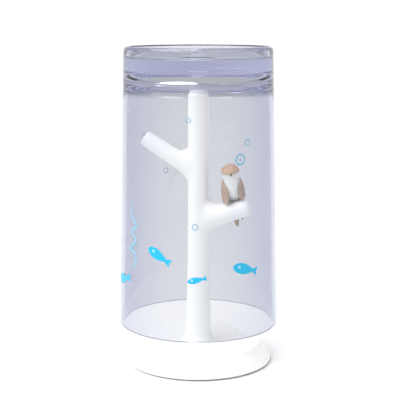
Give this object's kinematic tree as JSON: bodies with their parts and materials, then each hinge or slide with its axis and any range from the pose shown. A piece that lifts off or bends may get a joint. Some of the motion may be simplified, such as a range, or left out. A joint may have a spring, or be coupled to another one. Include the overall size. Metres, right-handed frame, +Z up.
{
  "type": "cup on tree stand",
  "caption": "Clear thick-bottomed cup kept upside down over a white tree-shaped stand with a small bird perched on its branch and a flared round base.",
  "frame": {"origin": "middle of the surface that the stand rests on, below the trunk's axis", "axes": "+Z up along the trunk; the high branch points to -X and the low branch, with the bird, to +X; the bird looks towards -Y, turned a little to +X"},
  "size_m": [0.0804, 0.0804, 0.16],
  "materials": {
    "clear_plastic": "polished, clear, faintly blue",
    "silicone": "translucent satin",
    "white_plastic": "gloss",
    "steel": "zinc plated",
    "ring_rubber": "matte",
    "print_ink": "screen printed",
    "bird_white": "satin",
    "bird_tan": "satin",
    "bird_brown": "satin",
    "bird_horn": "satin"
  },
  "bodies": {
    "stand": {"cup_rest_pad": "silicone", "tree_front_half": "white_plastic", "tree_rear_half": "white_plastic", "base_shell": "white_plastic", "base_plate": "white_plastic", "ballast_disc": "steel", "anti_slip_ring": "ring_rubber", "trunk_washer": "steel", "trunk_screw": "steel", "plate_screw_1": "steel", "plate_screw_2": "steel", "plate_screw_3": "steel", "bird_body": "bird_white", "bird_cap": "bird_tan", "bird_wing_left": "bird_brown", "bird_wing_right": "bird_brown", "bird_tail": "bird_brown", "bird_beak": "bird_horn", "bird_foot_left": "bird_horn", "bird_foot_right": "bird_horn", "perch_peg": "steel"},
    "cup": {"cup": "clear_plastic"}
  },
  "joints": [
    {"name": "cup_lift", "type": "slide", "parent": "stand", "child": "cup", "axis": [0, 0, 1], "range_m": [0, 0.125]}
  ]
}
